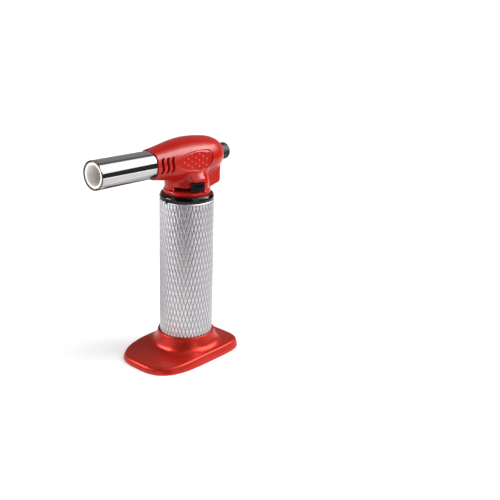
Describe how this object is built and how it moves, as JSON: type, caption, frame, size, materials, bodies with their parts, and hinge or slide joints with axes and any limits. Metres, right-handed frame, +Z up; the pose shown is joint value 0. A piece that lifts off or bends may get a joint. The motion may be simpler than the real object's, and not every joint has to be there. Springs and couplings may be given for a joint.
{
  "type": "butane torch",
  "caption": "Table-top butane torch with knurled gas handle, moulded stand, long burner nozzle, push-button piezo igniter and flame lever.",
  "frame": {"origin": "on the floor, under the middle of the torch's outer box", "axes": "+Z up, the nozzle points along -Y, the flame lever is on the +X side"},
  "size_m": [0.0528, 0.1094, 0.1459],
  "materials": {
    "red_satin": "satin red moulding with a slight metallic flake",
    "red_plastic": "glossy red moulding",
    "knurled_aluminium": "diamond knurl, matt silver grey",
    "black_plastic": "black moulding, glossy on the ring",
    "polished_steel": "mirror-polished tube",
    "plain_steel": "plain bright steel",
    "brass": "turned brass",
    "ceramic": "unglazed white ceramic",
    "rubber": "soft black rubber",
    "clear_nylon": "translucent natural nylon",
    "felt": "pressed felt"
  },
  "bodies": {
    "torch": {"stand": "red_satin", "handle_sleeve": "knurled_aluminium", "fuel_tank": "clear_nylon", "tank_lid": "black_plastic", "lid_seal": "rubber", "collar_ring": "black_plastic", "fill_valve_body": "brass", "fill_valve_seal": "rubber", "fill_valve_spring": "plain_steel", "outlet_valve_body": "brass", "outlet_valve_spring": "plain_steel", "gas_wick": "felt", "head_shell_left": "red_plastic", "head_shell_right": "red_plastic", "shell_screw_1": "plain_steel", "shell_screw_2": "plain_steel", "shell_screw_3": "plain_steel", "nozzle_sleeve": "polished_steel", "ceramic_liner": "ceramic", "burner_tube": "plain_steel", "flame_holder": "plain_steel", "burner_mount": "plain_steel", "mixing_tube": "brass", "jet_holder": "brass", "gas_jet": "plain_steel", "electrode_insulator": "ceramic", "spark_electrode": "plain_steel", "gas_hose": "rubber", "piezo_case": "black_plastic", "piezo_spring": "plain_steel", "ignition_lead": "rubber", "rocker_pin": "plain_steel"},
    "button": {"ignition_button": "black_plastic", "piezo_plunger": "clear_nylon"},
    "flame_lever": {"gas_lever": "black_plastic"},
    "fill_stem": {"fill_valve_stem": "brass"},
    "rocker": {"release_rocker": "plain_steel"},
    "valve_stem": {"outlet_valve_stem": "brass", "outlet_valve_seal": "rubber"}
  },
  "joints": [
    {"name": "button_push", "type": "slide", "parent": "torch", "child": "button", "axis": [0, -1, 0], "range_m": [0, 0.0045], "stiffness_N_per_m": 2500, "springref_m": -0.002, "deforming": ["piezo_spring"]},
    {"name": "rocker_tilt", "type": "hinge", "parent": "torch", "child": "rocker", "pos_m": [0, 0.0289, 0.1205], "axis": [-1, 0, 0], "range_deg": [0, 6]},
    {"name": "valve_lift", "type": "slide", "parent": "torch", "child": "valve_stem", "axis": [0, 0, 1], "range_m": [0, 0.001], "deforming": ["outlet_valve_spring"]},
    {"name": "flame_lever_turn", "type": "hinge", "parent": "torch", "child": "flame_lever", "pos_m": [0, 0.0199, 0.1142], "axis": [0, 0, -1], "range_deg": [0, 45]},
    {"name": "fill_stem_push", "type": "slide", "parent": "torch", "child": "fill_stem", "axis": [0, 0, 1], "range_m": [0, 0.0012], "stiffness_N_per_m": 1500, "springref_m": -0.001, "deforming": ["fill_valve_spring"]}
  ],
  "couplings": [
    {"joint": "rocker_tilt", "follows": "button_push", "rad_per_m": 22.2},
    {"joint": "valve_lift", "follows": "button_push", "ratio": 0.2}
  ]
}
